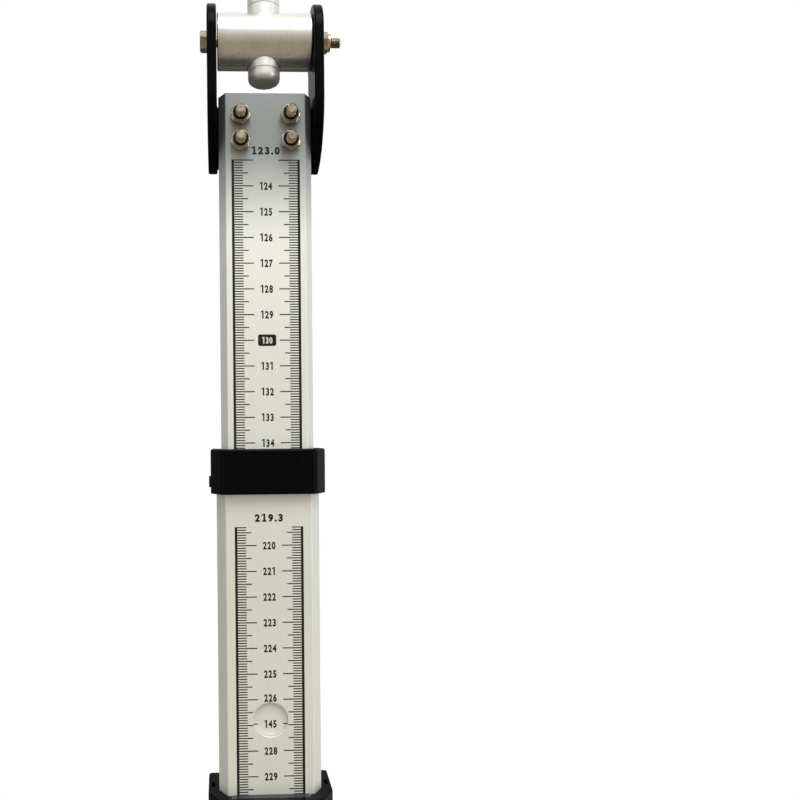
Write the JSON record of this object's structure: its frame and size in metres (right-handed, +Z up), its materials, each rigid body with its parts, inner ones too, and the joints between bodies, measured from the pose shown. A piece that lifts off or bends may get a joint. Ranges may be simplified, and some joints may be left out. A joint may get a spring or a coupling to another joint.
{
  "type": "telescopic levelling staff",
  "caption": "Telescopic aluminium measuring staff with nested sections, black collars and a swivelling head rod.",
  "frame": {"origin": "middle of the foot's underside, on the axis of the sections", "axes": "+Z up along the staff, -Y the printed front, +X to the right as seen from the front"},
  "size_m": [0.0589, 0.0364, 1.7333],
  "materials": {
    "section_aluminium": "satin anodised",
    "black_plastic": "gloss",
    "pad_plastic": "satin",
    "guide_plastic": "matte",
    "button_plastic": "satin",
    "zinc_steel": "zinc plated",
    "spring_steel": "bright",
    "foot_steel": "brushed",
    "black_paint": "semi-gloss",
    "turned_aluminium": "turned",
    "rod_steel": "ground"
  },
  "bodies": {
    "base": {"base_tube": "section_aluminium", "collar_d": "black_plastic", "pad_d": "pad_plastic", "collar_screws_d": "zinc_steel", "base_cap": "black_plastic", "foot_plate": "foot_steel", "foot_screws": "zinc_steel"},
    "section_4": {"tube_4": "section_aluminium", "collar_c": "black_plastic", "pad_c": "pad_plastic", "collar_screws_c": "zinc_steel", "guide_4": "guide_plastic", "button_spring_4": "spring_steel"},
    "section_3": {"tube_3": "section_aluminium", "collar_b": "black_plastic", "pad_b": "pad_plastic", "collar_screws_b": "zinc_steel", "guide_3": "guide_plastic", "button_spring_3": "spring_steel"},
    "section_2": {"tube_2": "section_aluminium", "collar_a": "black_plastic", "pad_a": "pad_plastic", "collar_screws_a": "zinc_steel", "guide_2": "guide_plastic", "button_spring_2": "spring_steel"},
    "section_1": {"tube_1": "section_aluminium", "guide_1": "guide_plastic", "button_spring_1": "spring_steel", "bracket": "black_paint", "top_plug": "guide_plastic", "bracket_bolts": "zinc_steel", "spring_washers": "zinc_steel", "bracket_nuts": "zinc_steel", "pivot_bolt": "zinc_steel", "pivot_washer": "zinc_steel", "pivot_nut": "zinc_steel"},
    "swivel": {"roller": "turned_aluminium", "cross_rod": "rod_steel"},
    "button_4": {"lock_button_4": "button_plastic"},
    "button_3": {"lock_button_3": "button_plastic"},
    "button_2": {"lock_button_2": "button_plastic"},
    "button_1": {"lock_button_1": "button_plastic"}
  },
  "joints": [
    {"name": "section_4_slide", "type": "slide", "parent": "base", "child": "section_4", "axis": [0, 0, 1], "range_m": [-0.078, 0.891]},
    {"name": "section_3_slide", "type": "slide", "parent": "section_4", "child": "section_3", "axis": [0, 0, 1], "range_m": [-0.131, 0.838]},
    {"name": "section_2_slide", "type": "slide", "parent": "section_3", "child": "section_2", "axis": [0, 0, 1], "range_m": [-0.104, 0.865]},
    {"name": "section_1_slide", "type": "slide", "parent": "section_2", "child": "section_1", "axis": [0, 0, 1], "range_m": [-0.1118, 0.8507]},
    {"name": "rod_swivel", "type": "hinge", "parent": "section_1", "child": "swivel", "pos_m": [0, 0, 1.6783], "axis": [1, 0, 0], "range_deg": [-110, 110]},
    {"name": "button_4_press", "type": "slide", "parent": "section_4", "child": "button_4", "axis": [0, 1, 0], "range_m": [0, 0.0012], "stiffness_N_per_m": 500, "springref_m": -0.003},
    {"name": "button_3_press", "type": "slide", "parent": "section_3", "child": "button_3", "axis": [0, 1, 0], "range_m": [0, 0.0012], "stiffness_N_per_m": 500, "springref_m": -0.003},
    {"name": "button_2_press", "type": "slide", "parent": "section_2", "child": "button_2", "axis": [0, 1, 0], "range_m": [0, 0.0012], "stiffness_N_per_m": 500, "springref_m": -0.003},
    {"name": "button_1_press", "type": "slide", "parent": "section_1", "child": "button_1", "axis": [0, 1, 0], "range_m": [0, 0.0012], "stiffness_N_per_m": 500, "springref_m": -0.003}
  ]
}
